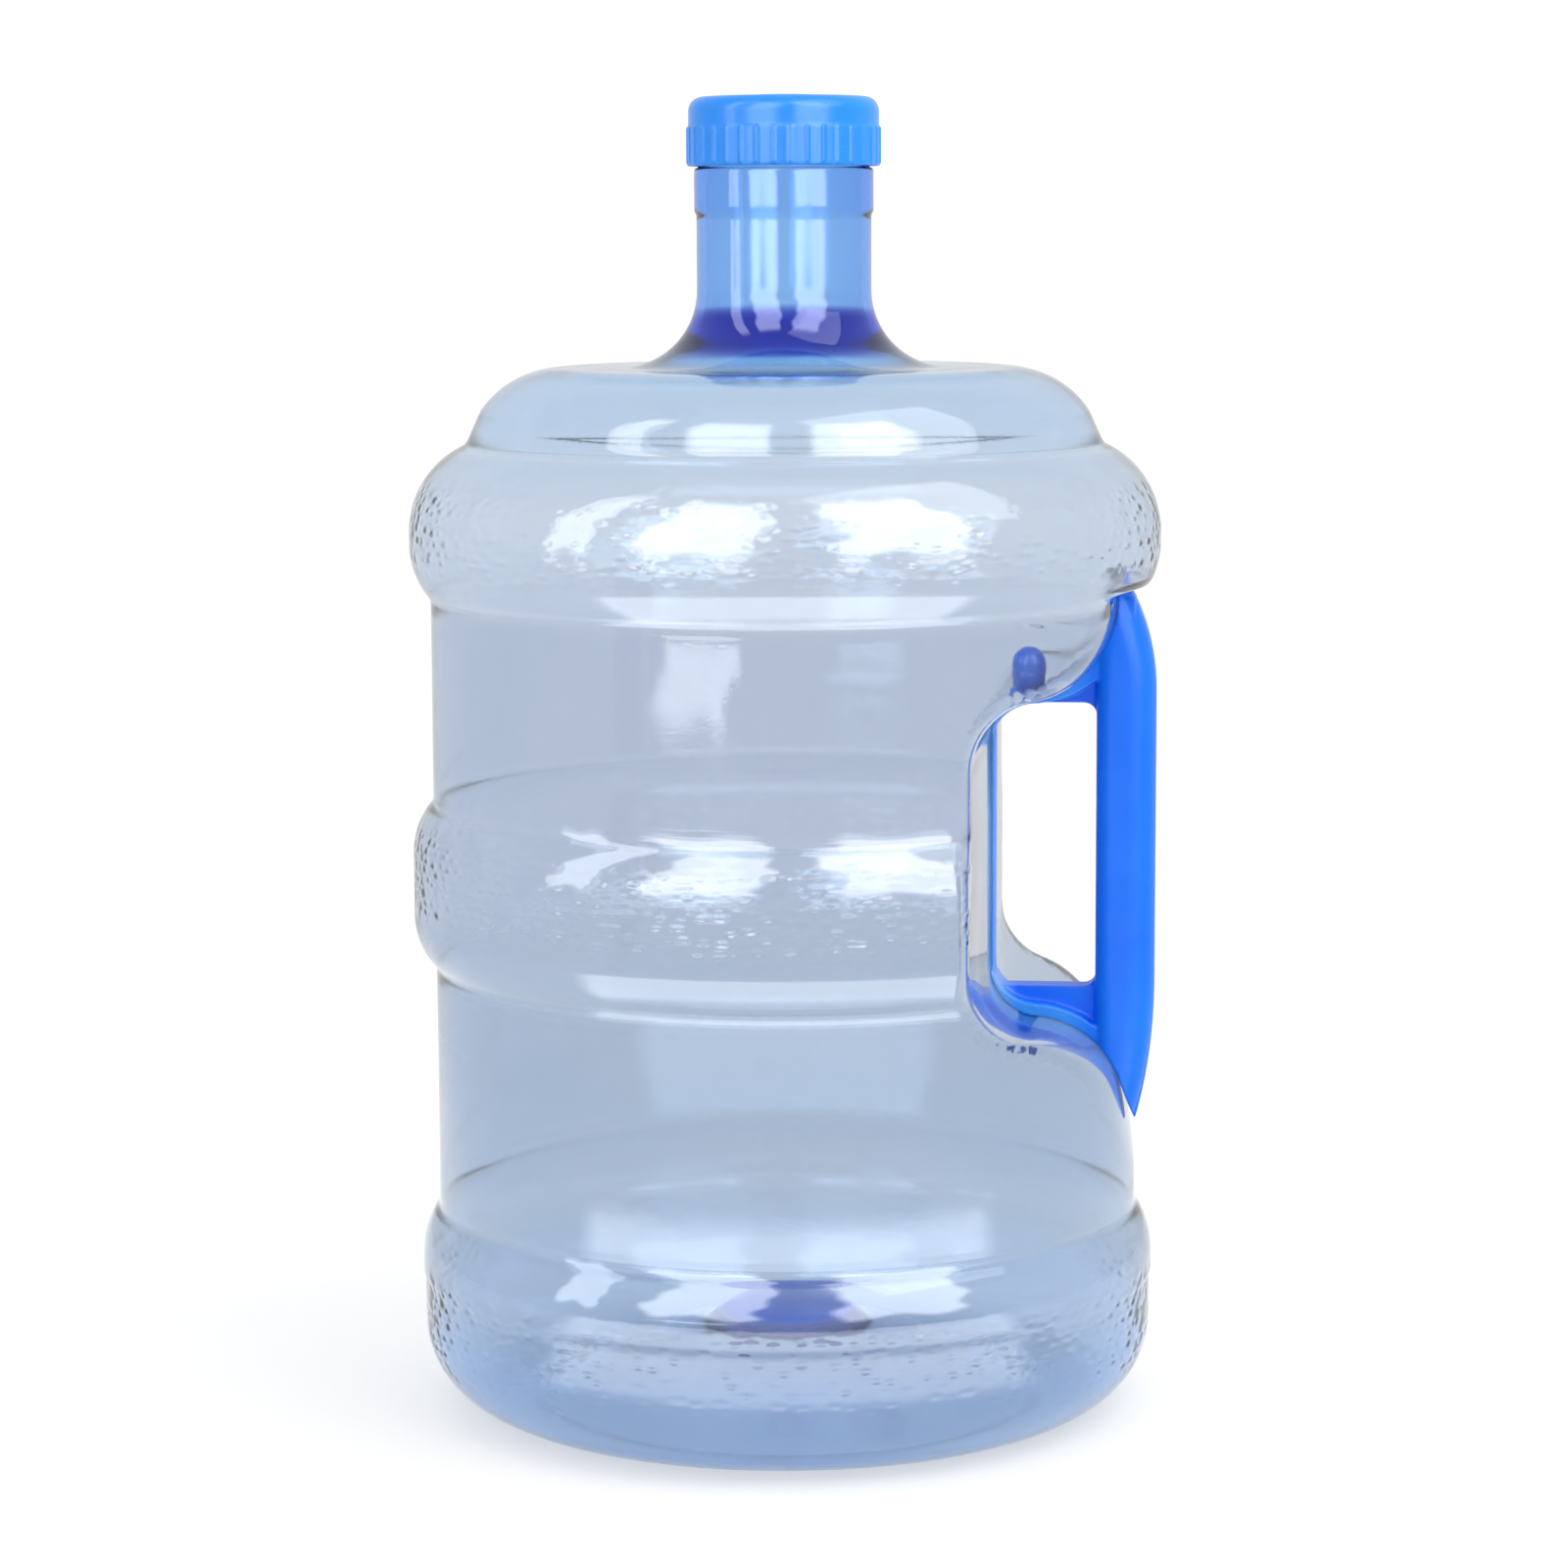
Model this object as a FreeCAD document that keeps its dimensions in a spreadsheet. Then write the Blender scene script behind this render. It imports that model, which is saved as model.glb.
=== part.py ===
import FreeCAD, Part
import math
import os

import Sketcher
from FreeCAD import Vector

# Large blown water jug, about 11 litres, with a moulded handle insert and a screw cap.
# Millimetres. +Z up, origin on the jug's axis at the plane of the foot ring, handle towards +X.

DIMENSIONS = [
    # bottle, outside
    ("foot_inner", 79.0, "inner radius of the foot ring"),
    ("foot_outer", 89.0, "outer radius of the foot ring"),
    ("pushup_height", 25.0, "height of the push-up dome in the base"),
    ("pushup_edge", 70.0, "radius where the dome meets the foot ring's slope"),
    ("pushup_rise", 4.5, "height of the dome's edge"),
    ("heel_radius", 27.0, "radius of the rounded heel"),
    ("base_band_r", 116.0, "radius of the base band"),
    ("base_bead_r", 116.6, "radius of the plain bead over the base band"),
    ("base_band_top", 41.0, "top of the base band"),
    ("bead_low", 43.0, "foot of the plain bead"),
    ("bead_high", 48.0, "top of the plain bead"),
    ("lower_crease", 64.0, "crease under the lower plain band"),
    ("lower_r", 111.2, "radius of the lower plain band"),
    ("bulge_r", 118.0, "largest radius of the middle and top bulges"),
    ("mid_low", 141.5, "lower crease of the middle bulge"),
    ("mid_full_low", 157.0, "foot of the middle bulge's straight"),
    ("mid_full_high", 177.0, "top of the middle bulge's straight"),
    ("mid_high", 193.0, "upper crease of the middle bulge"),
    ("upper_r", 111.5, "radius of the upper plain band"),
    ("top_low", 257.0, "lower crease of the top bulge"),
    ("top_full_low", 274.0, "foot of the top bulge's straight"),
    ("top_full_high", 278.0, "top of the top bulge's straight"),
    ("dome_crease_r", 100.0, "radius of the crease under the shoulder dome"),
    ("dome_crease_z", 305.0, "height of that crease"),
    ("dome_side_r", 95.5, "radius where the shoulder dome turns in"),
    ("dome_side_z", 315.1, "height where the shoulder dome turns in"),
    ("dome_flat_r", 70.0, "radius of the shoulder's flat"),
    ("dome_top", 328.8, "height of the shoulder's flat"),
    ("neck_r", 27.3, "radius of the neck"),
    ("flare_radius", 24.0, "radius of the flare from shoulder to neck"),
    ("ring_low", 376.0, "foot of the neck's collar"),
    ("ring_r", 28.0, "radius of the neck's collar"),
    ("ring_step", 1.0, "height of the collar's slope"),
    ("finish_low", 390.2, "foot of the threaded finish"),
    ("finish_r", 26.6, "radius of the finish under its thread"),
    ("rim_z", 409.0, "height of the rim"),
    ("mouth_r", 24.4, "radius of the mouth"),
    # bottle, walls
    ("wall", 0.9, "wall of the blown body"),
    ("base_wall", 1.7, "wall at the foot and heel"),
    ("disc_r", 23.5, "radius of the thick disc in the middle of the base"),
    ("disc_wall", 4.2, "thickness of that disc"),
    ("disc_sag", 1.2, "fall of the disc from its middle to its edge"),
    ("disc_skirt", 4.0, "width of the slope round the disc"),
    ("dome_fall", 2.0, "fall of the push-up dome at the disc"),
    ("roof_wall", 1.4, "wall of the shoulder"),
    # notch that the handle crosses: middle section and the section at the ends
    ("notch_out", 140.0, "how far out the notch's tool runs"),
    ("notch_half", 118.0, "half length of the notch's tool"),
    ("notch_roof", 260.0, "roof of the notch, over the handle's upper tip"),
    ("notch_wall_x", 65.6, "inner wall of the notch at the middle"),
    ("notch_wall_x_end", 63.4, "inner wall of the notch at the ends"),
    ("notch_brow_x", 105.0, "vertical tangent of the upper corner"),
    ("brow_radius", 30.0, "upper convex corner at the middle"),
    ("brow_radius_end", 22.5, "upper convex corner at the ends"),
    ("top_hollow_radius", 15.0, "upper concave corner at the middle"),
    ("top_hollow_radius_end", 23.0, "upper concave corner at the ends"),
    ("knee_x", 78.0, "centre of the lower convex corner"),
    ("knee_z", 94.6, "height of that centre at the middle"),
    ("knee_z_end", 101.6, "height of that centre at the ends"),
    ("knee_radius", 30.0, "lower convex corner"),
    ("low_hollow_radius", 16.0, "lower concave corner at the middle"),
    ("low_hollow_radius_end", 20.0, "lower concave corner at the ends"),
    ("exit_angle", 70.0, "slope of the notch's lower end"),
    # handle
    ("grip_in_x", 98.5, "inner face of the grip"),
    ("grip_out_x", 117.0, "outer face of the grip"),
    ("grip_width", 24.0, "width of the grip"),
    ("grip_low", 134.0, "foot of the grip's straight"),
    ("grip_high", 228.0, "top of the grip's straight"),
    ("tip_low_x", 110.6, "outer point of the lower tip"),
    ("tip_low_z", 92.0, "height of the lower tip"),
    ("tip_high_x", 109.0, "outer point of the upper tip, at the notch's roof"),
    ("hole_low", 134.0, "foot of the finger hole"),
    ("hole_high", 224.1, "top of the finger hole"),
    ("hole_corner", 4.0, "corner radius of the finger hole"),
    ("hole_side", 1.3, "thickness of the strip between finger hole and notch wall"),
    ("trim", 1.2, "how far flanges and webs run into the wall before they are trimmed to it"),
    ("web_width", 9.0, "width of the gusset webs"),
    ("flange_width", 20.0, "width of the flanges"),
    ("flange_wall_x", 65.0, "inner wall of the flanges' surface, sunk in the notch's wall"),
    ("flange_brow_x", 77.5, "centre of the upper flange's underside"),
    ("flange_brow_z", 257.3, "height of that centre"),
    ("flange_knee_x", 78.5, "centre of the lower flange's top side"),
    ("flange_knee_z", 96.0, "height of that centre"),
    ("flange_radius", 33.0, "radius of both flanges over the notch's convex corners"),
    ("flange_end_x", 106.4, "where the lower flange's back ends under the grip"),
    ("flange_tip_x", 110.2, "where its top side ends inside the grip"),
    ("grip_round_out", 9.0, "rounding of the grip's outer edges"),
    ("grip_round_in", 5.0, "rounding of the grip's inner edges"),
    ("lug_x", 77.0, "place of the lugs"),
    ("lug_r", 5.0, "radius of the upper lug"),
    ("lug_foot", 224.8, "foot of the upper lug, inside the flange"),
    ("lug_high", 241.0, "top of the upper lug"),
    ("stub_r", 3.2, "radius of the lower lug"),
    ("stub_foot", 126.5, "foot of the lower lug, inside the flange"),
    ("stub_low", 118.5, "tip of the lower lug"),
    ("tongue_z", 266.5, "top of the tongue in the top bulge"),
    ("tongue_foot", 255.0, "foot of that tongue, inside the grip"),
    ("tongue_in_x", 104.0, "inner corner of the tongue's foot"),
    ("tongue_out_x", 109.4, "outer corner of the tongue's foot"),
    ("tongue_tip_x", 108.0, "place of the tongue's tip"),
    ("tongue_width", 8.0, "width of the tongue"),
    # screw thread and cap
    ("thread_pitch", 6.0, "pitch of the screw thread"),
    ("thread_bite", 0.3, "how far a thread's root sinks into its wall"),
    ("thread_low", 395.2, "height of the neck thread's start"),
    ("thread_rise", 9.0, "rise of the neck thread, one and a half turns"),
    ("thread_crest", 28.1, "crest radius of the neck thread"),
    ("thread_root_half", 1.1, "half width of a thread at its root"),
    ("thread_crest_half", 0.6, "half width of a thread at its crest"),
    ("cap_low", 391.0, "foot of the cap's skirt"),
    ("cap_high", 412.4, "edge height of the cap's top"),
    ("cap_r", 30.0, "radius of the skirt between its ribs"),
    ("cap_rib_r", 30.4, "radius over the ribs"),
    ("cap_neck_r", 29.7, "radius over the step"),
    ("cap_step", 403.0, "height of the step over the ribs"),
    ("cap_corner", 4.5, "rounding of the cap's top edge"),
    ("cap_crown", 0.3, "height of the cap's middle plateau"),
    ("plateau_r", 9.5, "radius of that plateau"),
    ("cap_bore_r", 28.7, "radius inside the skirt"),
    ("cap_roof", 410.4, "underside of the cap's top"),
    ("recess_r", 27.6, "radius of the liner's recess under the cap's top"),
    ("recess_low", 408.4, "foot of the slope into that recess"),
    ("recess_edge", 409.0, "top of that slope"),
    ("cap_thread_crest", 27.2, "crest radius of the cap's thread"),
    ("cap_thread_low", 393.0, "height of the cap thread's start"),
    ("cap_thread_rise", 9.0, "rise of the cap's thread"),
    ("rib_width", 1.0, "width of a rib"),
    ("rib_low", 391.8, "foot of the ribs"),
    ("rib_count", 36, "number of ribs"),
    # sealing liner
    ("liner_r", 27.2, "radius of the liner"),
    ("liner_low", 409.05, "underside of the liner"),
    ("liner_high", 410.3, "top of the liner"),
]

SHEET = "Dims"
TINY = 1e-7
ORIGIN = (-1, 1)
CENTRE = 3

doc = FreeCAD.newDocument("water_jug")
sheet = doc.addObject("Spreadsheet::Sheet", SHEET)
for row, (alias, value, note) in enumerate(DIMENSIONS, start=1):
    sheet.set(f"A{row}", note)
    sheet.set(f"B{row}", str(value))
    sheet.setAlias(f"B{row}", alias)
doc.recompute()


class Size:
    """A length from the sheet: its value now, and the expression that gives it."""

    def __init__(self, value, text):
        self.value = float(value)
        self.text = text

    def combine(self, other, sign, symbol):
        other = as_size(other)
        return Size(self.value + sign * other.value, f"({self.text} {symbol} {other.text})")

    def __add__(self, other):
        return self.combine(other, 1, "+")

    def __sub__(self, other):
        return self.combine(other, -1, "-")

    def __truediv__(self, number):
        return Size(self.value / number, f"({self.text} / {number})")


def as_size(thing):
    return thing if isinstance(thing, Size) else Size(thing, str(thing))


D = {alias: Size(value, f"{SHEET}.{alias}") for alias, value, note in DIMENSIONS}
ZERO = as_size(0)


def new_body(name, label=None):
    body = doc.addObject("PartDesign::Body", name)
    body.Label = label or name
    return body


def plane_of(body, role):
    return next(item for item in body.Origin.OriginFeatures if item.Role == role)


def new_sketch(body, name, role="XZ_Plane", lift=None):
    """A sketch on one of the body's own planes, lifted along that plane's normal if asked."""
    sketch = body.newObject("Sketcher::SketchObject", name)
    sketch.AttachmentSupport = [(plane_of(body, role), "")]
    sketch.MapMode = "FlatFace"
    if lift is not None:
        sketch.setExpression("AttachmentOffset.Base.z", lift.text)
    return sketch


def drive(sketch, name, constraint, size):
    """Adds a named dimension and ties it to the sheet."""
    index = sketch.addConstraint(constraint)
    sketch.renameConstraint(index, name)
    sketch.setExpression(f"Constraints.{name}", size.text)


def pin_point(sketch, name, geo, point, spot):
    """Places a point of the sketch by its two distances from the origin."""
    for axis, kind, size in ((-2, "DistanceX", spot[0]), (-1, "DistanceY", spot[1])):
        if abs(size.value) < TINY:
            sketch.addConstraint(Sketcher.Constraint("PointOnObject", geo, point, axis))
            continue
        dimension = Sketcher.Constraint(kind, *ORIGIN, geo, point, size.value)
        drive(sketch, f"{name}_{kind[-1].lower()}", dimension, size)


def add_arc(sketch, centre, start, end, turn):
    """Adds an arc from start to end; turn is 1 anticlockwise, -1 clockwise.

    Returns the arc and its own point numbers for start and end."""
    radius = math.dist(centre, start)
    begin = math.atan2(start[1] - centre[1], start[0] - centre[0])
    finish = math.atan2(end[1] - centre[1], end[0] - centre[0])
    if turn < 0:
        begin, finish = finish, begin
    while finish <= begin:
        finish += 2 * math.pi
    circle = Part.Circle(Vector(*centre, 0), Vector(0, 0, 1), radius)
    arc = sketch.addGeometry(Part.ArcOfCircle(circle, begin, finish))
    return (arc, 1, 2) if turn > 0 else (arc, 2, 1)


def add_line(sketch, start, end):
    return sketch.addGeometry(Part.LineSegment(Vector(*start, 0), Vector(*end, 0))), 1, 2


def tangent_centre(spot, far, upright):
    """Centre of the arc that leaves spot upright (or level) and passes through far."""
    dx, dy = far[0] - spot[0], far[1] - spot[1]
    if upright:
        return spot[0] + (dx * dx + dy * dy) / (2 * dx), spot[1]
    return spot[0], spot[1] + (dx * dx + dy * dy) / (2 * dy)


def outline(sketch, corners, arcs=None):
    """A closed outline through the corners, which are (x, y, name) in sizes.

    arcs gives the sides that are arcs: side number -> (end that it is tangent at, 'upright' or 'level')."""
    arcs = arcs or {}
    spots = [(x.value, y.value) for x, y, name in corners]
    sides = []
    for side, start in enumerate(spots):
        end = spots[(side + 1) % len(spots)]
        if side not in arcs:
            sides.append(add_line(sketch, start, end))
            continue
        at, way = arcs[side]
        here, there = (start, end) if at == "start" else (end, start)
        centre = tangent_centre(here, there, way == "upright")
        cross = (start[0] - centre[0]) * (end[1] - centre[1]) - (start[1] - centre[1]) * (end[0] - centre[0])
        sides.append(add_arc(sketch, centre, start, end, 1 if cross > 0 else -1))
    for side, (geo, first, last) in enumerate(sides):
        after, after_first, _ = sides[(side + 1) % len(sides)]
        sketch.addConstraint(Sketcher.Constraint("Coincident", geo, last, after, after_first))
        if side in arcs:
            at, way = arcs[side]
            kind = "Horizontal" if way == "upright" else "Vertical"
            point = first if at == "start" else last
            sketch.addConstraint(Sketcher.Constraint(kind, geo, CENTRE, geo, point))
    for (x, y, name), (geo, first, _) in zip(corners, sides):
        pin_point(sketch, name, geo, first, (x, y))
    return sides


def add_feature(body, kind, name, sketch):
    feature = body.newObject(kind, name)
    feature.Profile = sketch
    sketch.Visibility = False
    return feature


def revolve(body, name, sketch, kind="PartDesign::Revolution"):
    feature = add_feature(body, kind, name, sketch)
    feature.ReferenceAxis = (sketch, ["V_Axis"])
    feature.Angle = 360
    return feature


def pad(body, name, sketch, width):
    """A pad of the sketch, even on both sides of its plane."""
    feature = add_feature(body, "PartDesign::Pad", name, sketch)
    feature.Midplane = True
    feature.setExpression("Length", width.text)
    return feature


def lug(body, name, kind, radius, foot, tip):
    """A round-tipped lug on the lugs' vertical axis, from its foot up or down to its tip."""
    place = D["lug_x"]
    side = place + radius
    shoulder = tip - radius if tip.value > foot.value else tip + radius
    sketch = new_sketch(body, f"{name}Profile")
    outline(sketch, [(place, foot, "foot"), (side, foot, "side_foot"), (side, shoulder, "side_tip"),
                     (place, tip, "tip")], {2: ("start", "upright")})
    axis = sketch.addGeometry(Part.LineSegment(Vector(place.value, foot.value, 0),
                                               Vector(place.value, tip.value, 0)), True)
    sketch.addConstraint(Sketcher.Constraint("Coincident", axis, 1, 0, 1))
    sketch.addConstraint(Sketcher.Constraint("Coincident", axis, 2, 3, 1))
    feature = add_feature(body, kind, name, sketch)
    feature.ReferenceAxis = (sketch, ["Axis0"])
    feature.Angle = 360
    return feature


def tongue(body, name, kind, grow):
    """The wedge that the top bulge's wall holds, grown by grow for its socket."""
    sketch = new_sketch(body, f"{name}Side")
    outline(sketch, [(D["tongue_in_x"] - grow, D["tongue_foot"], "foot_in"),
                     (D["tongue_out_x"] + grow, D["tongue_foot"], "foot_out"),
                     (D["tongue_tip_x"], D["tongue_z"] + grow + grow, "tip")])
    feature = add_feature(body, kind, name, sketch)
    feature.Midplane = True
    feature.setExpression("Length", (D["tongue_width"] + grow + grow).text)
    return feature


# ---------------------------------------------------------------- notch

def notch_numbers(at_end, grow):
    """Sizes of one section of the notch, grown into the jug by the wall if asked."""
    tail = "_end" if at_end else ""
    return {
        "wall_x": D["notch_wall_x" + tail] - grow,
        "roof": D["notch_roof"] + grow,
        "brow_z": D["top_low"],
        "knee_x": D["knee_x"],
        "brow_x": D["notch_brow_x"] - D["brow_radius" + tail],
        "brow": D["brow_radius" + tail] - grow,
        "top_hollow": D["top_hollow_radius" + tail] + grow,
        "knee_z": D["knee_z" + tail],
        "knee": D["knee_radius"] - grow,
        "low_hollow": D["low_hollow_radius" + tail] + grow,
    }


def notch_path(sketch, numbers, out, tag=""):
    """Draws the notch's surface from its roof down its sloping exit to x = out.

    Returns the path's sides, each (geometry, first point, last point)."""
    wall_x, brow_x, brow, top_hollow = (numbers[key] for key in ("wall_x", "brow_x", "brow", "top_hollow"))
    brow_z, knee_x, knee_z, knee, low_hollow = (
        numbers[key] for key in ("brow_z", "knee_x", "knee_z", "knee", "low_hollow"))
    slope = math.radians(D["exit_angle"].value)

    brow_c = (brow_x.value, brow_z.value)
    hollow_x = wall_x.value + top_hollow.value
    reach = brow.value + top_hollow.value
    top_c = (hollow_x, brow_c[1] - math.sqrt(reach ** 2 - (hollow_x - brow_c[0]) ** 2))
    top_meet = tuple(b + (c - b) * brow.value / reach for b, c in zip(brow_c, top_c))
    knee_c = (knee_x.value, knee_z.value)
    low_x = wall_x.value + low_hollow.value
    reach = knee.value + low_hollow.value
    low_c = (low_x, knee_c[1] + math.sqrt(reach ** 2 - (low_x - knee_c[0]) ** 2))
    low_meet = tuple(k + (c - k) * knee.value / reach for k, c in zip(knee_c, low_c))
    leave = (knee_c[0] + knee.value * math.sin(slope), knee_c[1] + knee.value * math.cos(slope))
    exit_point = (out.value, leave[1] - (out.value - leave[0]) * math.tan(slope))
    brow_start = (brow_c[0] + brow.value, brow_c[1])
    top_wall, low_wall = (wall_x.value, top_c[1]), (wall_x.value, low_c[1])

    brow_arc = add_arc(sketch, brow_c, brow_start, top_meet, -1)
    top_arc = add_arc(sketch, top_c, top_meet, top_wall, 1)
    wall = add_line(sketch, top_wall, low_wall)
    low_arc = add_arc(sketch, low_c, low_wall, low_meet, 1)
    knee_arc = add_arc(sketch, knee_c, low_meet, leave, -1)
    exit_line = add_line(sketch, leave, exit_point)
    path = [brow_arc, top_arc, wall, low_arc, knee_arc, exit_line]
    for (one, _, last), (two, first, _) in zip(path, path[1:]):
        sketch.addConstraint(Sketcher.Constraint("Tangent", one, last, two, first))

    pin_point(sketch, f"brow{tag}", brow_arc[0], CENTRE, (brow_x, brow_z))
    sketch.addConstraint(Sketcher.Constraint("Horizontal", brow_arc[0], brow_arc[1], brow_arc[0], CENTRE))
    pin_point(sketch, f"knee{tag}", knee_arc[0], CENTRE, (knee_x, knee_z))
    for name, arc, size in (("brow_radius", brow_arc, brow), ("top_hollow", top_arc, top_hollow),
                            ("low_hollow", low_arc, low_hollow), ("knee_radius", knee_arc, knee)):
        drive(sketch, f"{name}{tag}", Sketcher.Constraint("Radius", arc[0], size.value), size)
    sketch.addConstraint(Sketcher.Constraint("Vertical", wall[0]))
    drive(sketch, f"wall_x{tag}", Sketcher.Constraint("DistanceX", *ORIGIN, wall[0], 1, wall_x.value), wall_x)
    drive(sketch, f"out_x{tag}", Sketcher.Constraint("DistanceX", *ORIGIN, exit_line[0], 2, out.value), out)
    index = sketch.addConstraint(Sketcher.Constraint("Angle", exit_line[0], -slope))
    sketch.renameConstraint(index, f"exit_slope{tag}")
    sketch.setExpression(f"Constraints.exit_slope{tag}", f"-{SHEET}.exit_angle * 1 deg")
    return path


def path_ends(sketch, path):
    """The path's first and last points as plain numbers."""
    ends = (sketch.getPoint(path[0][0], path[0][1]), sketch.getPoint(path[-1][0], path[-1][2]))
    return [(point.x, point.y) for point in ends]


def join(sketch, chain):
    """Joins each side of the chain to the next."""
    for (one, _, last), (two, first, _) in zip(chain, chain[1:]):
        sketch.addConstraint(Sketcher.Constraint("Coincident", one, last, two, first))


def notch_section(body, name, at_end, grow, lift=None):
    """One closed section of the tool that cuts the notch."""
    sketch = new_sketch(body, name, lift=lift)
    numbers = notch_numbers(at_end, grow)
    roof, out = numbers["roof"], D["notch_out"]
    path = notch_path(sketch, numbers, out)
    start, end = path_ends(sketch, path)
    spots = [end, (out.value, roof.value), (start[0], roof.value), start]
    sides = [add_line(sketch, one, two) for one, two in zip(spots, spots[1:])]
    join(sketch, [path[-1]] + sides + [path[0]])
    for (geo, _, _), kind in zip(sides, ("Vertical", "Horizontal", "Vertical")):
        sketch.addConstraint(Sketcher.Constraint(kind, geo))
    drive(sketch, "roof_z", Sketcher.Constraint("DistanceY", *ORIGIN, sides[0][0], 2, roof.value), roof)
    return sketch


def cut_notch(body, grow):
    """Cuts the notch, which widens from its middle towards both ends."""
    half = D["notch_half"]
    for side, lift in (("Front", half), ("Back", ZERO - half)):
        middle = notch_section(body, f"Notch{side}Middle", False, grow)
        end = notch_section(body, f"Notch{side}End", True, grow, lift)
        cut = add_feature(body, "PartDesign::SubtractiveLoft", f"Notch{side}", middle)
        cut.Sections = [(end, [""])]
        cut.Ruled = True
        end.Visibility = False


# ---------------------------------------------------------------- bottle

def side_profile(grow, floor, roof):
    """Corners and arcs of the jug's side from the heel to the neck's flare.

    grow, floor and roof are the walls taken off the side, the base and the shoulder."""
    corners = [
        (D["foot_outer"], floor, "heel_low"),
        (D["base_band_r"] - grow, D["heel_radius"], "heel_high"),
        (D["base_band_r"] - grow, D["base_band_top"], "band_top"),
        (D["base_bead_r"] - grow, D["bead_low"], "bead_low"),
        (D["base_bead_r"] - grow, D["bead_high"], "bead_high"),
        (D["lower_r"] - grow, D["lower_crease"], "lower_crease"),
        (D["lower_r"] - grow, D["mid_low"], "mid_low"),
        (D["bulge_r"] - grow, D["mid_full_low"], "mid_full_low"),
        (D["bulge_r"] - grow, D["mid_full_high"], "mid_full_high"),
        (D["upper_r"] - grow, D["mid_high"], "mid_high"),
        (D["upper_r"] - grow, D["top_low"], "top_low"),
        (D["bulge_r"] - grow, D["top_full_low"], "top_full_low"),
        (D["bulge_r"] - grow, D["top_full_high"], "top_full_high"),
        (D["dome_crease_r"] - grow, D["dome_crease_z"], "dome_crease"),
        (D["dome_side_r"] - grow, D["dome_side_z"], "dome_side"),
        (D["dome_flat_r"], D["dome_top"] - roof, "dome_flat"),
        (D["neck_r"] + D["flare_radius"], D["dome_top"] - roof, "flare_low"),
    ]
    arcs = {0: ("end", "upright"), 4: ("start", "upright"), 6: ("end", "upright"), 8: ("start", "upright"),
            10: ("end", "upright"), 12: ("start", "upright"), 14: ("end", "level"), 16: ("end", "upright")}
    return corners, arcs


outer = new_body("bottle_form")
profile = new_sketch(outer, "OuterProfile")
corners, arcs = side_profile(ZERO, ZERO, ZERO)
corners += [
    (D["neck_r"], D["dome_top"] + D["flare_radius"], "flare_high"),
    (D["neck_r"], D["ring_low"], "ring_low"),
    (D["ring_r"], D["ring_low"] + D["ring_step"], "ring_high"),
    (D["ring_r"], D["finish_low"], "finish_edge"),
    (D["finish_r"], D["finish_low"], "finish_low"),
    (D["finish_r"], D["rim_z"], "rim_out"),
    (ZERO, D["rim_z"], "rim_axis"),
    (ZERO, D["pushup_height"], "dome_axis"),
    (D["pushup_edge"], D["pushup_rise"], "dome_edge"),
    (D["foot_inner"], ZERO, "foot_in"),
]
arcs[24] = ("start", "level")
outline(profile, corners, arcs)
revolve(outer, "OuterForm", profile)
cut_notch(outer, ZERO)


def thread(body, name, root, crest, start, rise):
    """A right-hand thread whose section lies between root and crest radii."""
    sketch = new_sketch(body, f"{name}Section")
    high, low = D["thread_root_half"], D["thread_crest_half"]
    outline(sketch, [(root, start - high, "root_low"), (crest, start - low, "crest_low"),
                     (crest, start + low, "crest_high"), (root, start + high, "root_high")])
    helix = add_feature(body, "PartDesign::AdditiveHelix", name, sketch)
    helix.ReferenceAxis = (sketch, ["V_Axis"])
    helix.Mode = "pitch-height-angle"
    helix.setExpression("Pitch", D["thread_pitch"].text)
    helix.setExpression("Height", rise.text)
    return helix


thread(outer, "NeckThread", D["finish_r"] - D["thread_bite"], D["thread_crest"], D["thread_low"],
       D["thread_rise"])

cavity = new_body("bottle_cavity")
profile = new_sketch(cavity, "CavityProfile")
wall, base_wall, roof_wall = D["wall"], D["base_wall"], D["roof_wall"]
corners, arcs = side_profile(wall, base_wall, roof_wall)
corners += [
    (D["mouth_r"], D["dome_top"] + D["flare_radius"], "flare_high"),
    (D["mouth_r"], D["rim_z"] + D["wall"], "mouth_top"),
    (ZERO, D["rim_z"] + D["wall"], "mouth_axis"),
    (ZERO, D["pushup_height"] + D["disc_wall"], "disc_axis"),
    (D["disc_r"], D["pushup_height"] + D["disc_wall"] - D["disc_sag"], "disc_edge"),
    (D["disc_r"] + D["disc_skirt"], D["pushup_height"] + base_wall - D["dome_fall"], "disc_foot"),
    (D["pushup_edge"], D["pushup_rise"] + base_wall, "dome_edge"),
    (D["foot_inner"], base_wall, "foot_in"),
]
arcs[20] = ("start", "level")
arcs[22] = ("start", "level")
outline(profile, corners, arcs)
revolve(cavity, "CavityForm", profile)
cut_notch(cavity, wall)
lug(cavity, "LugSocket", "PartDesign::Groove", D["lug_r"] + wall, D["lug_foot"], D["lug_high"] + wall)
lug(cavity, "StubSocket", "PartDesign::Groove", D["stub_r"] + wall, D["stub_foot"], D["stub_low"] - wall)
tongue(cavity, "TongueSocket", "PartDesign::Pocket", wall)


def boolean(kind, name, base, tool):
    result = doc.addObject(kind, name)
    result.Base, result.Tool = base, tool
    return result


# ---------------------------------------------------------------- handle

insert = new_body("handle_form")
tip_low, tip_high = D["tip_low_x"], D["tip_high_x"]


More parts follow.
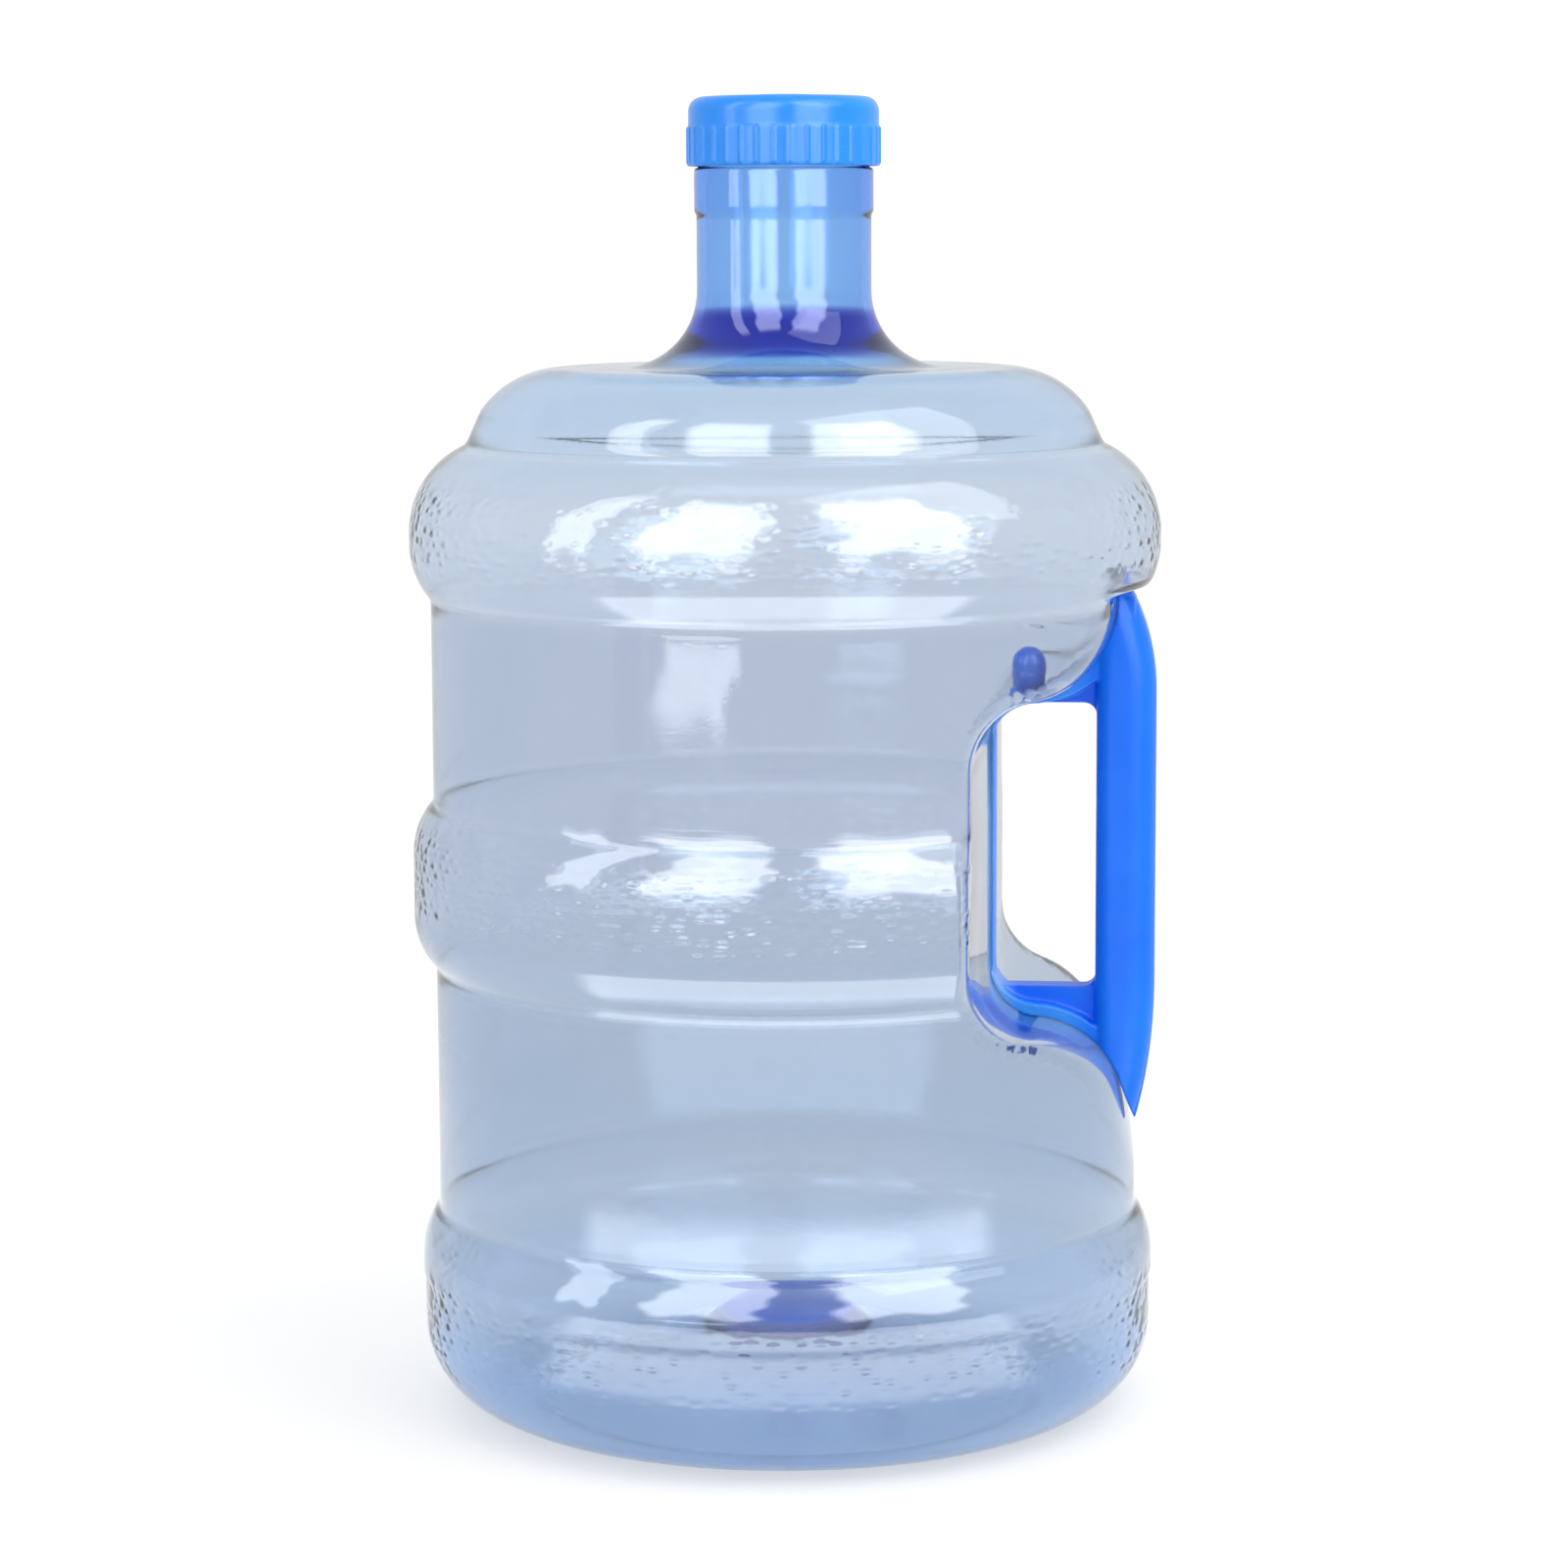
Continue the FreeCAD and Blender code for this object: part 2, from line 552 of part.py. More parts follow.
def outer_edge(sketch, start, end):
    """The grip's outer edge, from the lower tip at start up to the upper tip at end."""
    side, low, high = D["grip_out_x"], D["grip_low"], D["grip_high"]
    foot, head = (side.value, low.value), (side.value, high.value)
    low_arc = add_arc(sketch, tangent_centre(foot, start, True), start, foot, 1)
    straight = add_line(sketch, foot, head)
    high_arc = add_arc(sketch, tangent_centre(head, end, True), head, end, 1)
    pin_point(sketch, "grip_foot", straight[0], 1, (side, low))
    pin_point(sketch, "grip_head", straight[0], 2, (side, high))
    for arc, point in ((low_arc, low_arc[2]), (high_arc, high_arc[1])):
        sketch.addConstraint(Sketcher.Constraint("Horizontal", arc[0], CENTRE, arc[0], point))
    return [low_arc, straight, high_arc]


# The web: everything between the notch and the outer edge, with the finger hole left open.
sketch = new_sketch(insert, "WebSide")
path = notch_path(sketch, notch_numbers(False, D["trim"]), tip_low)
start, end = path_ends(sketch, path)
top = (tip_high.value, D["top_low"].value)
edge = outer_edge(sketch, end, top)
lid = add_line(sketch, top, start)
join(sketch, [path[-1]] + edge + [lid, path[0]])
pin_point(sketch, "tip_high", lid[0], 1, (tip_high, D["top_low"]))
hole_in, hole_out = D["notch_wall_x"] + D["hole_side"], D["grip_in_x"]
hole_low, hole_high, corner = D["hole_low"], D["hole_high"], D["hole_corner"]
outline(sketch, [
    (hole_in + corner, hole_low, "h1"), (hole_out - corner, hole_low, "h2"),
    (hole_out, hole_low + corner, "h3"), (hole_out, hole_high - corner, "h4"),
    (hole_out - corner, hole_high, "h5"), (hole_in + corner, hole_high, "h6"),
    (hole_in, hole_high - corner, "h7"), (hole_in, hole_low + corner, "h8"),
], {1: ("start", "level"), 3: ("start", "upright"), 5: ("start", "level"), 7: ("start", "upright")})
pad(insert, "Web", sketch, D["web_width"])

# The flanges: a band along the notch's surface, thicker towards the grip and sunk in the notch's wall.
sketch = new_sketch(insert, "FlangeSide")
back = notch_path(sketch, notch_numbers(False, D["trim"]), D["flange_end_x"], "_back")
numbers = notch_numbers(False, ZERO)
numbers.update(wall_x=D["flange_wall_x"], brow_x=D["flange_brow_x"], brow_z=D["flange_brow_z"],
               brow=D["flange_radius"], knee_x=D["flange_knee_x"], knee_z=D["flange_knee_z"],
               knee=D["flange_radius"])
front = notch_path(sketch, numbers, D["flange_tip_x"], "_front")
(back_start, back_end), (front_start, front_end) = path_ends(sketch, back), path_ends(sketch, front)
head, foot = add_line(sketch, front_start, back_start), add_line(sketch, back_end, front_end)
join(sketch, [head, back[0]])
join(sketch, [back[-1], foot])
sketch.addConstraint(Sketcher.Constraint("Coincident", foot[0], 2, front[-1][0], front[-1][2]))
sketch.addConstraint(Sketcher.Constraint("Coincident", head[0], 1, front[0][0], front[0][1]))
pad(insert, "Flange", sketch, D["flange_width"])

# The grip: a thick bar with rounded edges.
grip_form = new_body("grip_form")
sketch = new_sketch(grip_form, "GripSide")
inner = D["grip_in_x"]
low, high = (tip_low.value, D["tip_low_z"].value), (tip_high.value, D["notch_roof"].value)
edge = outer_edge(sketch, low, high)
sides = [add_line(sketch, one, two) for one, two in zip(
    [high, (inner.value, high[1]), (inner.value, low[1])],
    [(inner.value, high[1]), (inner.value, low[1]), low])]
join(sketch, edge + sides + [edge[0]])
pin_point(sketch, "tip_high", sides[0][0], 1, (tip_high, D["notch_roof"]))
pin_point(sketch, "inner_high", sides[1][0], 1, (inner, D["notch_roof"]))
pin_point(sketch, "inner_low", sides[1][0], 2, (inner, D["tip_low_z"]))
pin_point(sketch, "tip_low", sides[2][0], 2, (tip_low, D["tip_low_z"]))
bar = pad(grip_form, "Bar", sketch, D["grip_width"])
doc.recompute()


def long_edges(shape, inside):
    """Names of the bar's edges along its length, on its inner or its outer face."""
    names = []
    for number, item in enumerate(shape.Edges, start=1):
        box = item.BoundBox
        along = box.YLength < TINY and abs(abs(box.Center.y) - D["grip_width"].value / 2) < TINY
        on_inside = box.XMax < D["grip_in_x"].value + TINY
        on_outside = box.XMin > D["grip_in_x"].value + TINY and box.ZLength > 1
        if along and (on_inside if inside else on_outside):
            names.append(f"Edge{number}")
    return names


rounded = bar
for name, inside, size in (("OuterRounding", False, "grip_round_out"),
                           ("InnerRounding", True, "grip_round_in")):
    fillet = grip_form.newObject("PartDesign::Fillet", name)
    fillet.Base = (rounded, long_edges(rounded.Shape, inside))
    fillet.setExpression("Radius", D[size].text)
    doc.recompute()
    rounded = fillet

lugs = new_body("lugs_form")
lug(lugs, "UpperLug", "PartDesign::Revolution", D["lug_r"], D["lug_foot"], D["lug_high"])
lug(lugs, "LowerLug", "PartDesign::Revolution", D["stub_r"], D["stub_foot"], D["stub_low"])
tongue(lugs, "Tongue", "PartDesign::Pad", ZERO)

whole = doc.addObject("Part::MultiFuse", "insert_whole")
whole.Shapes = [insert, grip_form]
trimmed = boolean("Part::Cut", "insert_trimmed", whole, outer)
handle = doc.addObject("Part::MultiFuse", "handle")
handle.Shapes = [trimmed, lugs]

shell = boolean("Part::Cut", "bottle_shell", outer, cavity)
bottle = boolean("Part::Cut", "bottle", shell, lugs)

# ---------------------------------------------------------------- screw cap

cap = new_body("screw_cap")
sketch = new_sketch(cap, "CapProfile")
bore, roof, step = D["cap_bore_r"], D["cap_roof"], D["cap_step"]
top_r = D["cap_neck_r"] - D["cap_corner"]
outline(sketch, [
    (bore, D["cap_low"], "skirt_in"), (D["cap_r"], D["cap_low"], "skirt_out"), (D["cap_r"], step, "step_low"),
    (D["cap_neck_r"], step + D["cap_crown"], "step_high"),
    (D["cap_neck_r"], D["cap_high"] - D["cap_corner"], "corner_low"), (top_r, D["cap_high"], "corner_high"),
    (D["plateau_r"] + D["cap_crown"], D["cap_high"] + D["cap_crown"], "plateau_foot"),
    (D["plateau_r"], D["cap_high"] + D["cap_crown"] + D["cap_crown"], "plateau_edge"),
    (ZERO, D["cap_high"] + D["cap_crown"] + D["cap_crown"], "plateau_axis"),
    (ZERO, roof, "roof_axis"), (D["recess_r"], roof, "roof_edge"),
    (D["recess_r"], D["recess_edge"], "recess_edge"), (bore, D["recess_low"], "recess_low"),
], {4: ("start", "upright")})
revolve(cap, "CapForm", sketch)
thread(cap, "CapThread", bore + D["thread_bite"], D["cap_thread_crest"], D["cap_thread_low"],
       D["cap_thread_rise"])

sketch = new_sketch(cap, "RibFoot", "XY_Plane", D["rib_low"])
half, deep = D["rib_width"] / 2, D["cap_r"] - D["rib_width"]
outline(sketch, [(deep, ZERO - half, "in_low"), (D["cap_rib_r"], ZERO - half, "out_low"),
                 (D["cap_rib_r"], half, "out_high"), (deep, half, "in_high")])
rib = add_feature(cap, "PartDesign::Pad", "Rib", sketch)
rib.setExpression("Length", (step - D["rib_low"]).text)
ribs = cap.newObject("PartDesign::PolarPattern", "Ribs")
ribs.Originals = [rib]
ribs.Axis = (sketch, ["N_Axis"])
ribs.Angle = 360
ribs.setExpression("Occurrences", D["rib_count"].text)
cap.Tip = ribs

# ---------------------------------------------------------------- sealing liner

liner = doc.addObject("Part::Cylinder", "cap_liner")
liner.setExpression("Radius", D["liner_r"].text)
liner.setExpression("Height", (D["liner_high"] - D["liner_low"]).text)
liner.setExpression("Placement.Base.z", D["liner_low"].text)

# ---------------------------------------------------------------- checks and files

doc.recompute()
for item in doc.Objects:
    if "Invalid" in item.State or "Error" in item.State:
        raise RuntimeError(f"{item.Name} did not recompute: {item.State}")

os.makedirs("parts", exist_ok=True)
for item in (bottle, handle, cap, liner):
    item.Label = item.Name
    shape = item.Shape
    if shape.isNull() or not shape.isValid() or len(shape.Solids) != 1:
        raise RuntimeError(f"{item.Label} is not one valid solid: {len(shape.Solids)}")
    shape.exportStep(f"parts/{item.Label}.step")
    print(item.Label, round(shape.Volume), "mm3", shape.optimalBoundingBox())
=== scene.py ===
import math

import bpy
import numpy as np
from mathutils import Matrix, Vector


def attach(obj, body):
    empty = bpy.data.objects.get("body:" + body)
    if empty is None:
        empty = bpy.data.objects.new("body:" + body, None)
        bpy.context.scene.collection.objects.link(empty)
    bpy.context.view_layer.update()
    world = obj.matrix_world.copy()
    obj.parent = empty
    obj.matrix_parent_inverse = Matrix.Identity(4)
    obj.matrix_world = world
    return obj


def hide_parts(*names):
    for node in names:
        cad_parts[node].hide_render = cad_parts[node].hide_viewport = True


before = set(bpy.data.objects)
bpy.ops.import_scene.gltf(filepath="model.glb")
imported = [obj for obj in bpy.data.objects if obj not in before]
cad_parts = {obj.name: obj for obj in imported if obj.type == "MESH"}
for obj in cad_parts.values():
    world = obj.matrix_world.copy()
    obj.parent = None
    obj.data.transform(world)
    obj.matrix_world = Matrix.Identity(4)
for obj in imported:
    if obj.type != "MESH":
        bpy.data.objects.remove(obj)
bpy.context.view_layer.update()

MM = 0.001

# ------------------------------------------------------------------ mesh helpers


def make_object(name, verts, faces, material, body):
    """A smooth-shaded mesh object that rides on a CAD body. verts are in metres."""
    mesh = bpy.data.meshes.new(name)
    mesh.from_pydata(verts, [], faces)
    mesh.validate()
    mesh.polygons.foreach_set("use_smooth", [True] * len(mesh.polygons))
    mesh.materials.append(material)
    mesh.update()
    obj = bpy.data.objects.new(name, mesh)
    bpy.context.scene.collection.objects.link(obj)
    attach(obj, body)
    return obj


def grid_faces(rows, cols):
    """Quads of a grid whose columns close on themselves."""
    row = np.arange(rows - 1)[:, None] * cols
    col = np.arange(cols)[None, :]
    nxt = (col + 1) % cols
    return np.stack([row + col, row + nxt, row + cols + nxt, row + cols + col], axis=-1).reshape(-1, 4)


def smoothstep(edge0, edge1, x):
    """0 up to edge0, 1 from edge1 on, and an even S curve between them."""
    t = np.clip((x - edge0) / (edge1 - edge0), 0.0, 1.0)
    return t * t * (3 - 2 * t)


def lattice_noise(u, v, period_u, rng, size_v=256):
    """Smooth value noise from -1 to 1, periodic in u after period_u cells."""
    table = rng.uniform(-1, 1, (period_u, size_v))
    iu, iv = np.floor(u).astype(int), np.floor(v).astype(int)
    fu, fv = u - iu, v - iv
    fu, fv = fu * fu * (3 - 2 * fu), fv * fv * (3 - 2 * fv)
    i0, i1 = iu % period_u, (iu + 1) % period_u
    j0, j1 = iv % size_v, (iv + 1) % size_v
    low = table[i0, j0] * (1 - fu) + table[i1, j0] * fu
    high = table[i0, j1] * (1 - fu) + table[i1, j1] * fu
    return low * (1 - fv) + high * fv


# ------------------------------------------------------------------ the jug's form, in millimetres

CREASE_R, UPPER_R, BULGE_R = 111.2, 111.5, 118.0
RIM_Z, MOUTH_R = 409.0, 24.4
NECK_R, FINISH_R, RING_R = 27.3, 26.6, 28.0
FLARE_RADIUS, FLARE_LOW = 24.0, 328.8
RIM_EDGE = 0.9
TOP_LOW = 257.0
KNEE_X, KNEE_R = 78.0, 30.0
NOTCH_ROOF, NOTCH_BROW_X, NOTCH_EXIT = 260.0, 105.0, math.radians(70.0)
LUG_X = 77.0
# Closed shapes stop this far short of the axis that they are turned round.
AXIS = 0.05


def tangent_arc(start, end, at, way, count=24):
    """Points from start to end on the arc that is upright or level at one of its ends."""
    here, there = (start, end) if at == "start" else (end, start)
    dx, dy = there[0] - here[0], there[1] - here[1]
    square = dx * dx + dy * dy
    if way == "upright":
        centre = (here[0] + square / (2 * dx), here[1])
    else:
        centre = (here[0], here[1] + square / (2 * dy))
    a0 = math.atan2(start[1] - centre[1], start[0] - centre[0])
    a1 = math.atan2(end[1] - centre[1], end[0] - centre[0])
    turn = (a1 - a0 + math.pi) % (2 * math.pi) - math.pi
    radius = math.dist(centre, start)
    angles = [a0 + turn * i / count for i in range(1, count + 1)]
    return [(centre[0] + radius * math.cos(a), centre[1] + radius * math.sin(a)) for a in angles]


def chain(start, steps):
    """A polyline from start; each step is (point) or (point, at, way) for an arc."""
    points = [start]
    for step in steps:
        if len(step) == 2:
            points.append(step)
        else:
            points += tangent_arc(points[-1], step[0], step[1], step[2])
    return np.array(points)


def resample(points, step):
    """The polyline at an even small step."""
    seg = np.hypot(*np.diff(points, axis=0).T)
    s = np.concatenate([[0], np.cumsum(seg)])
    t = np.linspace(0, s[-1], max(2, int(s[-1] / step)))
    return np.stack([np.interp(t, s, points[:, 0]), np.interp(t, s, points[:, 1])], axis=1)


def soften(points, reach):
    """Rounds the corners of an evenly stepped polyline, keeping its ends."""
    kernel = np.hanning(2 * reach + 3)[1:-1]
    kernel /= kernel.sum()
    pad = len(kernel) // 2
    out = points.copy()
    for axis in (0, 1):
        line = points[:, axis]
        head = 2 * line[0] - line[pad:0:-1]
        tail = 2 * line[-1] - line[-2:-pad - 2:-1]
        out[:, axis] = np.convolve(np.concatenate([head, line, tail]), kernel, mode="valid")
    return out


PROFILE = chain((0.0, 25.0), [
    ((70.0, 4.5), "start", "level"), (79.0, 0.0), (89.0, 0.0), ((116.0, 27.0), "end", "upright"),
    (116.0, 41.0), (116.6, 43.0), (116.6, 48.0), ((CREASE_R, 64.0), "start", "upright"), (CREASE_R, 141.5),
    ((BULGE_R, 157.0), "end", "upright"), (BULGE_R, 177.0), ((UPPER_R, 193.0), "start", "upright"),
    (UPPER_R, TOP_LOW), ((BULGE_R, 274.0), "end", "upright"), (BULGE_R, 278.0),
    ((100.0, 305.0), "start", "upright"), (95.5, 315.1), ((70.0, FLARE_LOW), "end", "level"),
    (NECK_R + FLARE_RADIUS, FLARE_LOW), ((NECK_R, FLARE_LOW + FLARE_RADIUS), "end", "upright"),
    (NECK_R, 376.0), (RING_R, 377.0), (RING_R, 390.2), (FINISH_R, 390.6), (FINISH_R, RIM_Z - RIM_EDGE),
    (FINISH_R - RIM_EDGE, RIM_Z), (MOUTH_R + RIM_EDGE, RIM_Z), (MOUTH_R, RIM_Z - RIM_EDGE),
])
STEP = 0.1
fine = resample(PROFILE, STEP)
# The neck keeps crisper corners than the blown body below it.
crisp, gentle = soften(fine, 9), soften(fine, 24)
crispness = smoothstep(340.0, 350.0, fine[:, 1:])
fine = crisp * crispness + gentle * (1 - crispness)

# Bands of hammered texture: the heights where each starts, is full, is full to, and ends.
BANDS = ((12.0, 24.0, 46.0, 49.0), (158.0, 164.0, 185.0, 189.0), (266.0, 272.0, 291.0, 295.0))


def band_mask(r, z):
    """How fully the hammered texture shows, from 0 to 1."""
    mask = np.zeros_like(z)
    for a, b, c, d in BANDS:
        mask = np.maximum(mask, smoothstep(a, b, z) * (1 - smoothstep(c, d, z)))
    return mask * smoothstep(86.0, 96.0, r)


# The rows between these heights are cut by the notch, so each column of them is spaced on its own.
SIDE_LOW, SIDE_HIGH = 60.0, 300.0
FINE_ROW, COARSE_ROW = 0.5, 1.5
side_rows = (fine[:, 0] > 60) & (fine[:, 1] >= SIDE_LOW) & (fine[:, 1] <= SIDE_HIGH)
first, last = np.flatnonzero(side_rows)[[0, -1]]
below, side, above = fine[:first + 1], fine[first:last + 1], fine[last:]


def row_picks(points):
    """Indices of rows: close together in the hammered bands and on the screw thread."""
    dense = band_mask(points[:, 0], points[:, 1])
    dense = np.maximum(dense, (points[:, 1] > 389.5) & (points[:, 0] < 30))
    density = dense / FINE_ROW + (1 - dense) / COARSE_ROW
    total = np.cumsum(density * STEP)
    count = int(total[-1])
    return np.searchsorted(total, np.linspace(total[0], total[-1], count)).clip(0, len(points) - 1)


COLS = 720
theta = 2 * math.pi * np.arange(COLS) / COLS


def root(value):
    return np.sqrt(np.maximum(value, 0))


def notch_x(y, z):
    """How far out from the jug's axis plane the notch's surface stands at y, z.

    k goes from 0 in the middle of the notch to 1 at its ends, where its corners are rounder."""
    k = np.clip(np.abs(y) / BULGE_R, 0, 1)
    wall, brow, hollow = 65.6 - 2.2 * k, 30.0 - 7.5 * k, 15.0 + 8.0 * k
    knee_z, low = 94.6 + 7.0 * k, 16.0 + 4.0 * k
    brow_x, top_x = NOTCH_BROW_X - brow, wall + hollow
    top_z = TOP_LOW - np.sqrt((brow + hollow) ** 2 - (top_x - brow_x) ** 2)
    meet = TOP_LOW - (TOP_LOW - top_z) * brow / (brow + hollow)
    low_x = wall + low
    low_z = knee_z + np.sqrt((KNEE_R + low) ** 2 - (low_x - KNEE_X) ** 2)
    low_meet = knee_z + (low_z - knee_z) * KNEE_R / (KNEE_R + low)
    leave_z, leave_x = knee_z + KNEE_R * math.cos(NOTCH_EXIT), KNEE_X + KNEE_R * math.sin(NOTCH_EXIT)
    x = leave_x + (leave_z - z) / math.tan(NOTCH_EXIT)
    x = np.where(z > leave_z, KNEE_X + root(KNEE_R ** 2 - (z - knee_z) ** 2), x)
    x = np.where(z > low_meet, low_x - root(low ** 2 - (z - low_z) ** 2), x)
    x = np.where(z > low_z, wall, x)
    x = np.where(z > top_z, top_x - root(hollow ** 2 - (z - top_z) ** 2), x)
    x = np.where(z > meet, brow_x + root(brow ** 2 - np.maximum(TOP_LOW - z, 0) ** 2), x)
    return x + 4.0 * np.maximum(z - NOTCH_ROOF, 0) ** 2


EXIT_STEP, NO_EXIT = 0.25, 400.0


def first_exit(angle, z):
    """Radius at which a level ray from the axis first leaves the jug into the notch."""
    reach = np.arange(58.0, 122.0, EXIT_STEP)
    x, y = reach * math.cos(angle), reach * math.sin(angle)
    outside = x[None, :] - notch_x(y[None, :], z[:, None])
    hit = outside > 0
    index = np.where(hit.any(axis=1), hit.argmax(axis=1), len(reach) - 1)
    before = outside[np.arange(len(z)), np.maximum(index - 1, 0)]
    after = outside[np.arange(len(z)), index]
    share = np.where((index > 0) & (after > 0), -before / np.maximum(after - before, 1e-6), 0).clip(0, 1)
    radius = reach[np.maximum(index - 1, 0)] + share * EXIT_STEP
    return np.where(hit.any(axis=1), radius, NO_EXIT)


def smooth_min(a, b, k):
    """The lower of a and b, rounded where they cross over a width of k."""
    h = np.clip(0.5 + 0.5 * (b - a) / k, 0, 1)
    return b * (1 - h) + a * h - k * h * (1 - h)


dense = band_mask(side[:, 0], side[:, 1])
density = dense / FINE_ROW + (1 - dense) / COARSE_ROW
SIDE_COUNT = int((density * STEP).sum() * 1.12)
EDGE_ROUND = 8.0
NOTCH_REACH = math.radians(62)

columns = np.zeros((COLS, SIDE_COUNT, 2))
cache = {}
for j, angle in enumerate(theta):
    signed = (angle + math.pi) % (2 * math.pi) - math.pi
    key = round(abs(signed), 6) if abs(signed) < NOTCH_REACH else None
    if key not in cache:
        radius = side[:, 0]
        if key is not None:
            radius = smooth_min(radius, first_exit(key, side[:, 1]), EDGE_ROUND)
        line = np.stack([radius, side[:, 1]], axis=1)
        seg = np.hypot(*np.diff(line, axis=0).T)
        weight = 0.5 * (density[1:] + density[:-1])
        s = np.concatenate([[0], np.cumsum(seg * weight)])
        t = np.linspace(0, s[-1], SIDE_COUNT)
        cache[key] = np.stack([np.interp(t, s, line[:, 0]), np.interp(t, s, line[:, 1])], axis=1)
    columns[j] = cache[key]

low_rows, high_rows = below[row_picks(below)], above[row_picks(above)]
low_rows = low_rows[low_rows[:, 0] > 0.6]


def spread(rows):
    """The same rows for every column."""
    return np.repeat(rows[:, None, :], COLS, axis=1)


rz = np.concatenate([spread(low_rows[:-1]), columns.transpose(1, 0, 2), spread(high_rows[1:])], axis=0)
R, Z = rz[..., 0], rz[..., 1]
TH = np.broadcast_to(theta, R.shape)
form = np.stack([R * np.cos(TH), R * np.sin(TH), Z], axis=-1)


def grid_normals(points):
    """Outward unit normals of a closed-column grid."""
    around = np.roll(points, -1, axis=1) - np.roll(points, 1, axis=1)
    along = np.gradient(points, axis=0)
    normal = np.cross(around, along)
    return normal / np.maximum(np.linalg.norm(normal, axis=-1, keepdims=True), 1e-9)


normals = grid_normals(form)

# Wall thickness: thin sides, thicker foot and shoulder, a thick disc in the base's middle, a thick neck.
wall = 0.5 + 0.5 * (1 - smoothstep(20, 45, Z)) + 0.3 * smoothstep(290, 315, Z)
wall += (1 - smoothstep(21.0, 26.0, R)) * (Z < 60) * 3.2
wall += (R < 60) * (0.7 * smoothstep(326, 336, Z) + 1.5 * smoothstep(334, 340, Z))
bore = (Z > 352) & (R < 40)
inner = form - normals * wall[..., None]
radial = np.stack([np.cos(TH), np.sin(TH), np.zeros_like(TH)], axis=-1)
straight = radial * MOUTH_R + np.stack([np.zeros_like(TH)] * 2 + [Z], axis=-1)
inner = np.where(bore[..., None], straight, inner)

# Pits on the bands, gentle waves on the plain parts, and the screw thread on the finish.
rng = np.random.default_rng(7)
PIT_COLS, PIT_ROW, PIT_DEPTH = 124, 3.1, 0.19
PIT_LONG, PIT_TALL, PIT_JITTER = (1.75, 0.55), (0.85, 0.2), 0.28
PIT_TABLE = 160


def pits(angle, height):
    """Depth from 0 to 1 of scattered flat elliptical pits, one in each cell of a jittered lattice."""
    cell = 2 * math.pi * BULGE_R / PIT_COLS
    table = rng.uniform(-1, 1, (4, PIT_COLS, PIT_TABLE))
    along = angle / (2 * math.pi) * PIT_COLS
    depth = np.zeros_like(height)
    row = np.floor(height / PIT_ROW).astype(int)
    for step in (-1, 0, 1):
        j = row + step
        shifted = along - 0.5 * (j % 2)
        col = np.floor(shifted).astype(int)
        for side in (-1, 0, 1):
            i = (col + side) % PIT_COLS
            jx, jy, size, strength = (table[n, i, j % PIT_TABLE] for n in range(4))
            du = (shifted - (col + side + 0.5 + PIT_JITTER * jx)) * cell / (PIT_LONG[0] + PIT_LONG[1] * size)
            dv = (height - (j + 0.5 + PIT_JITTER * jy) * PIT_ROW) / (PIT_TALL[0] + PIT_TALL[1] * size)
            pit = np.clip(0.55 + 0.6 * strength, 0, 1) * np.exp(-(du * du + dv * dv) ** 1.3)
            depth = np.maximum(depth, pit)
    return depth


mask = band_mask(R, Z) * smoothstep(100.0, 112.0, R)
waves = lattice_noise(TH / (2 * math.pi) * 18, Z / 30.0, 18, rng)
grain = lattice_noise(TH / (2 * math.pi) * 150, Z / 4.0, 150, rng)
lift = mask * (0.05 * grain - PIT_DEPTH * pits(TH, Z)) + (R > 60) * (1 - mask) * waves * 0.06

turn = TH / (2 * math.pi)
THREAD_LOW, PITCH, TURNS, THREAD_END, THREAD_DEPTH = 395.2, 6.0, 1.5, 0.06, 1.45
thread = np.zeros_like(R)
for lap in (0, 1):
    along = turn + lap
    present = smoothstep(0.0, THREAD_END, along) * (1 - smoothstep(TURNS - THREAD_END, TURNS, along))
    off = np.abs(Z - (THREAD_LOW + PITCH * along))
    thread = np.maximum(thread, present * (1 - smoothstep(0.45, 1.15, off)))
lift = lift + thread * THREAD_DEPTH * ((R < 27.2) & (R > 26.2) & (Z > 391) & (Z < RIM_Z - 1))
outer = form + normals * lift[..., None]


def jug_shell(material):
    """The blown shell: an outer skin, and an inner one with every second row, joined at the rim."""
    rim = int(np.argmax(Z[:, 0]))
    inner_rows = inner[np.arange(0, rim, 2)][::-1]
    skin = np.concatenate([outer, inner_rows], axis=0)
    verts = skin.reshape(-1, 3) * MM
    faces = grid_faces(skin.shape[0], COLS)
    poles = np.array([[0, 0, PROFILE[0][1]], [0, 0, PROFILE[0][1] + wall[0, 0]]]) * MM
    count = len(verts)
    verts = np.concatenate([verts, poles])
    col = np.arange(COLS)
    nxt = (col + 1) % COLS
    end = count - COLS
    fans = [(int(b), int(a), count) for a, b in zip(col, nxt)]
    fans += [(int(end + a), int(end + b), count + 1) for a, b in zip(col, nxt)]
    return make_object("jug_shell", verts.tolist(), faces.tolist() + fans, material, "bottle_body")


# ------------------------------------------------------------------ materials


def new_material(name):
    """A material with its node tree and its Principled shader."""
    material = bpy.data.materials.new(name)
    material.use_nodes = True
    tree = material.node_tree
    shader = next(node for node in tree.nodes if node.type == "BSDF_PRINCIPLED")
    return material, tree, shader


def add(tree, kind, **inputs):
    """A new node with some inputs set; an underscore stands for a space in an input's name."""
    node = tree.nodes.new(kind)
    for key, value in inputs.items():
        node.inputs[key.replace("_", " ")].default_value = value
    return node


